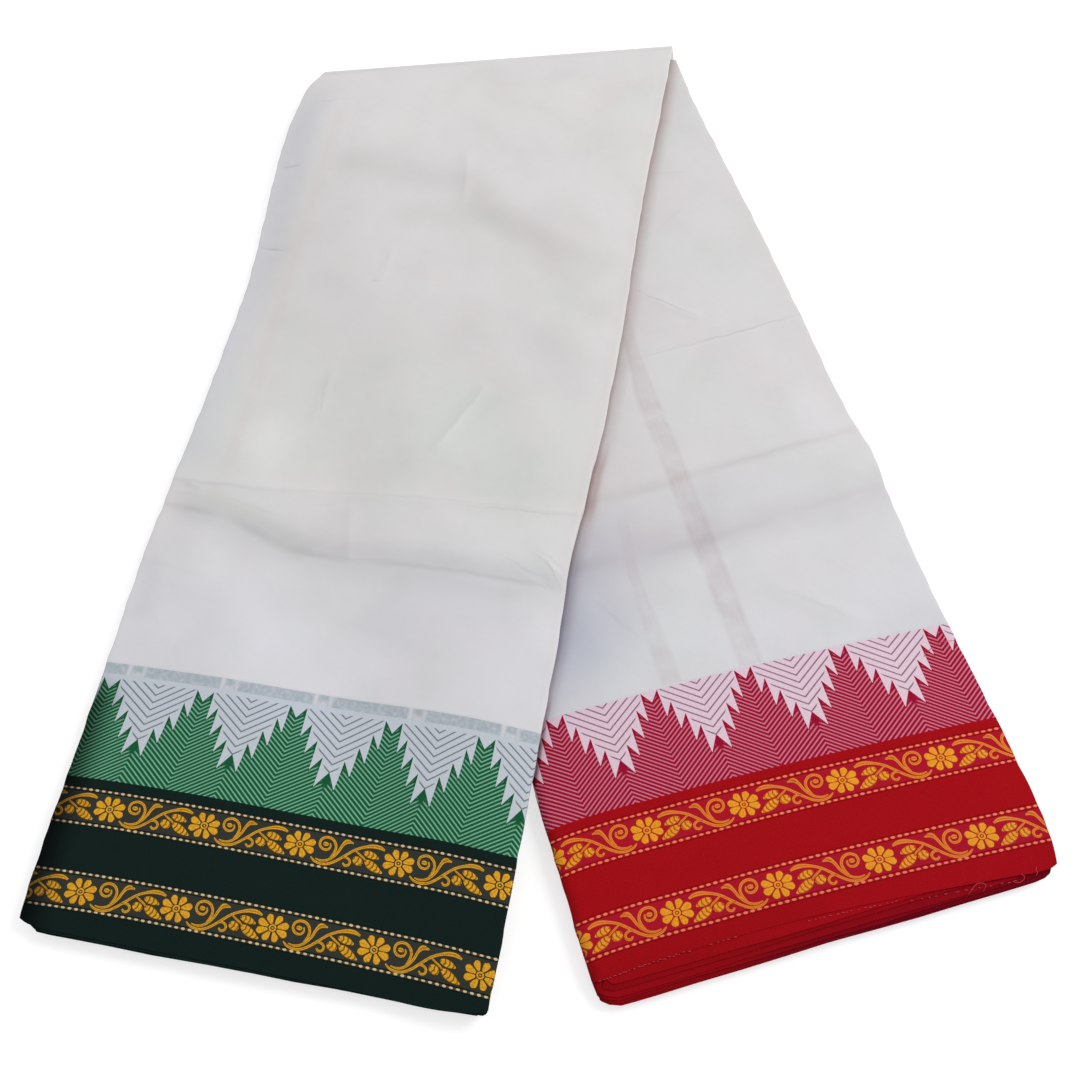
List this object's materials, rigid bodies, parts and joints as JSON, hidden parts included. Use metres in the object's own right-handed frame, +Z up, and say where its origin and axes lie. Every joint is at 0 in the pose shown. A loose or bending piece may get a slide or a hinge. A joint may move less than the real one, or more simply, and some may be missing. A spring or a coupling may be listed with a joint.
{
  "type": "dhoti cloth",
  "caption": "Long cotton dhoti cloth, pleated into a flat strip and folded over at a slant, so that its green and red temple borders lie side by side in a V.",
  "frame": {"origin": "middle of the bounding box on the floor plane that the cloth lies on", "axes": "+Z up; the fold over lies at the +Y end along X, and the two arms run towards -Y, the green one to -X"},
  "size_m": [0.5056, 0.641, 0.0189],
  "materials": {
    "field": "plain woven fine cotton, bleached, matt",
    "field_plies": "plain woven fine cotton, bleached, matt",
    "green": "woven cotton border with gold figured bands, slight sheen",
    "green_plies": "woven cotton border, edges of the folded plies",
    "red": "woven cotton border with gold figured bands, slight sheen",
    "red_plies": "woven cotton border, edges of the folded plies"
  },
  "bodies": {
    "root": {"upper_field": "field", "green_border": "green", "lower_field": "field", "red_border": "red", "upper_plies": "field_plies", "green_border_plies": "green_plies", "lower_plies": "field_plies", "red_border_plies": "red_plies"}
  },
  "joints": []
}
